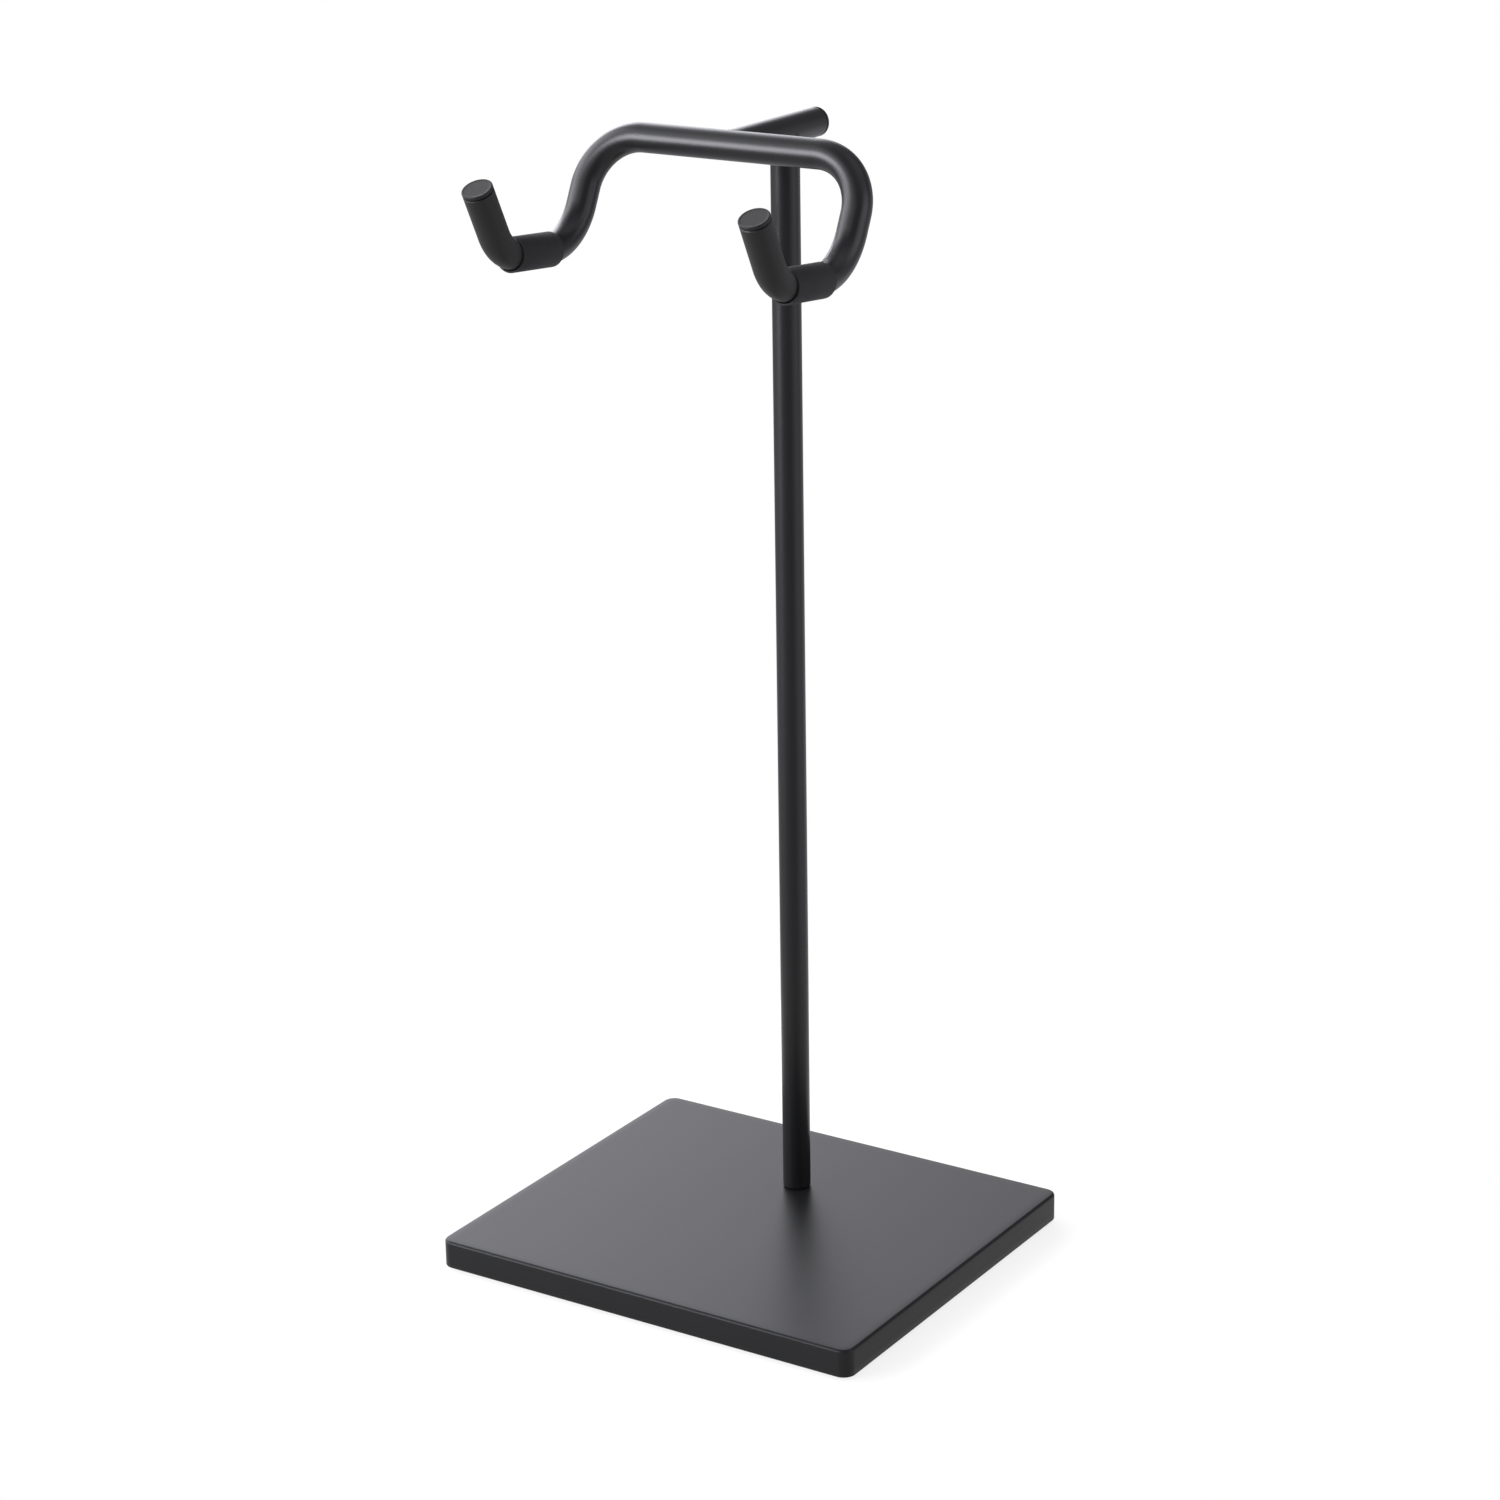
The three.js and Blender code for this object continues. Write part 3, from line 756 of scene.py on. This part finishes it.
# Soft lights round the stand: azimuth, elevation, angle out to which each is even, angle where it has
# faded away (degrees), and strength.
SOFT_LIGHTS = {
    "left": (104, 22, 6, 32, 5.5),
    "front_left": (130, 20, 5, 42, 2.1),
    "front": (180, 26, 4, 28, 1.9),
    "high_left": (72, 48, 5, 32, 0.9),
    "back_left": (47, 17, 8, 30, 3.2),
    "back_left_high": (54, 26, 4, 24, 2.6),
    "back_right": (-20, -8, 6, 32, 0.45),
    "high_right": (-62, 62, 8, 38, 0.9),
    "right": (-82, -4, 10, 44, 0.8),
    "right_high": (-80, 15, 8, 30, 2.2),
    "paper_below": (0, -90, 60, 82, 0.6),
}
# The key is a round softbox with a grid, aimed at the hooks, so that little of it reaches the base.
KEY_HEADING = (146, 9)
KEY_DISTANCE = 1.2
KEY_DIAMETER = 0.8
KEY_SPREAD = math.radians(50)
KEY_WATTS = 3.0


def make_camera():
    camera = bpy.data.objects.new("camera", bpy.data.cameras.new("camera"))
    bpy.context.scene.collection.objects.link(camera)
    camera.data.lens = CAMERA_LENS
    camera.data.sensor_width = CAMERA_SENSOR
    turn = (Matrix.Rotation(CAMERA_YAW, 4, "Z") @ Matrix.Rotation(math.pi / 2 - CAMERA_DOWN, 4, "X")
            @ Matrix.Rotation(-CAMERA_ROLL, 4, "Z"))
    camera.matrix_world = Matrix.Translation(CAMERA_PLACE) @ turn
    bpy.context.scene.camera = camera


def make_floor():
    """A round sheet of pale paper. Its edge isn't seen, because the studio round it is as bright."""
    rim = [(FLOOR_RADIUS * math.cos(a), FLOOR_RADIUS * math.sin(a), 0) for a in angles(FLOOR_AROUND)]
    mesh = bpy.data.meshes.new("floor")
    mesh.from_pydata(rim, [], [tuple(range(FLOOR_AROUND))])
    material, tree, shader = new_material("floor_paper", PAPER, roughness=0.9, specular=0.1)
    fibre = noise(tree, place_in(tree), scale=400, detail=3)
    vary_colour(tree, shader, fibre, PAPER, darkest=0.99, lightest=1.01)
    shader.inputs["Emission Color"].default_value = WHITE
    shader.inputs["Emission Strength"].default_value = FLOOR_GLOW
    mesh.materials.append(material)
    floor = bpy.data.objects.new("floor", mesh)
    bpy.context.scene.collection.objects.link(floor)


def heading(azimuth, elevation):
    """A unit vector, with azimuth 0 to the back (+Y) and 90 to the left (-X)."""
    a, e = math.radians(azimuth), math.radians(elevation)
    return (-math.sin(a) * math.cos(e), math.cos(a) * math.cos(e), math.sin(e))


def soft_light(tree, direction, azimuth, elevation, even, faded, strength):
    """A round glow in the world: full strength within the even angle, fading smoothly to nothing."""
    facing = add_node(tree, "ShaderNodeVectorMath")
    facing.operation = "DOT_PRODUCT"
    facing.inputs[1].default_value = heading(azimuth, elevation)
    tree.links.new(direction, facing.inputs[0])
    glow = add_node(tree, "ShaderNodeMapRange", from_min=math.cos(math.radians(faded)),
                    from_max=math.cos(math.radians(even)), to_max=strength)
    glow.interpolation_type = "SMOOTHSTEP"
    tree.links.new(facing.outputs["Value"], glow.inputs["Value"])
    return glow.outputs["Result"]


def all_light(tree):
    """The strengths of all the soft lights, added to the room's own glow."""
    direction = add_node(tree, "ShaderNodeTexCoord").outputs["Generated"]
    total = None
    for light in SOFT_LIGHTS.values():
        add = add_node(tree, "ShaderNodeMath")
        add.operation = "ADD"
        tree.links.new(soft_light(tree, direction, *light), add.inputs[0])
        if total:
            tree.links.new(total, add.inputs[1])
        else:
            add.inputs[1].default_value = ROOM_GLOW
        total = add.outputs["Value"]
    return total


def make_light():
    """A studio of soft lights at a distance. The camera sees its walls as plain white."""
    world = bpy.data.worlds.new("studio")
    bpy.context.scene.world = world
    world.use_nodes = True
    tree = world.node_tree
    studio = tree.nodes["Background"]
    studio.inputs["Color"].default_value = (*LIGHT_TINT, 1)
    tree.links.new(all_light(tree), studio.inputs["Strength"])
    white_wall = add_node(tree, "ShaderNodeBackground", color=WHITE)
    seen = add_node(tree, "ShaderNodeMixShader")
    path = add_node(tree, "ShaderNodeLightPath")
    tree.links.new(path.outputs["Is Camera Ray"], seen.inputs["Fac"])
    tree.links.new(studio.outputs["Background"], seen.inputs[1])
    tree.links.new(white_wall.outputs["Background"], seen.inputs[2])
    tree.links.new(seen.outputs["Shader"], tree.nodes["World Output"].inputs["Surface"])
    bpy.context.scene.view_settings.view_transform = "Standard"


def make_key():
    lamp = bpy.data.lights.new("key", "AREA")
    lamp.shape = "DISK"
    lamp.size = KEY_DIAMETER
    lamp.spread = KEY_SPREAD
    lamp.energy = KEY_WATTS
    lamp.color = LIGHT_TINT
    key = bpy.data.objects.new("key", lamp)
    out = Vector(heading(*KEY_HEADING))
    hooks = Vector((0, (HOOK_LOW.y + HOOK_HIGH.y) / 2, HOOK_HIGH.z))
    key.location = hooks + out * KEY_DISTANCE
    key.rotation_euler = (-out).to_track_quat("-Z", "Y").to_euler()
    key.visible_camera = False
    bpy.context.scene.collection.objects.link(key)


# ---------------------------------------------------------------- everything in its place
make_base_cover()
make_ballast()
make_lining()
make_feet()
make_screw()
make_washer()
make_insert()
make_post()
make_spine()
make_end_plug("spine_end_plug", Vector((0, SPINE_PLUG_HIGH.y, TUBE_Z)), Vector((0, 1, 0)), TUBE_RADIUS,
              "spine_plug")
make_hook_tube()
make_welds()
for name, side in (("left", -1), ("right", 1)):
    make_sleeve(name, side)
    make_tip_cover(name, side)
    make_end_plug(f"tip_end_plug_{name}", mirrored(TIP, side), TIP_DIRECTION, COVER_RADIUS,
                  f"tip_plug_{name}")

make_camera()
make_floor()
make_light()
make_key()
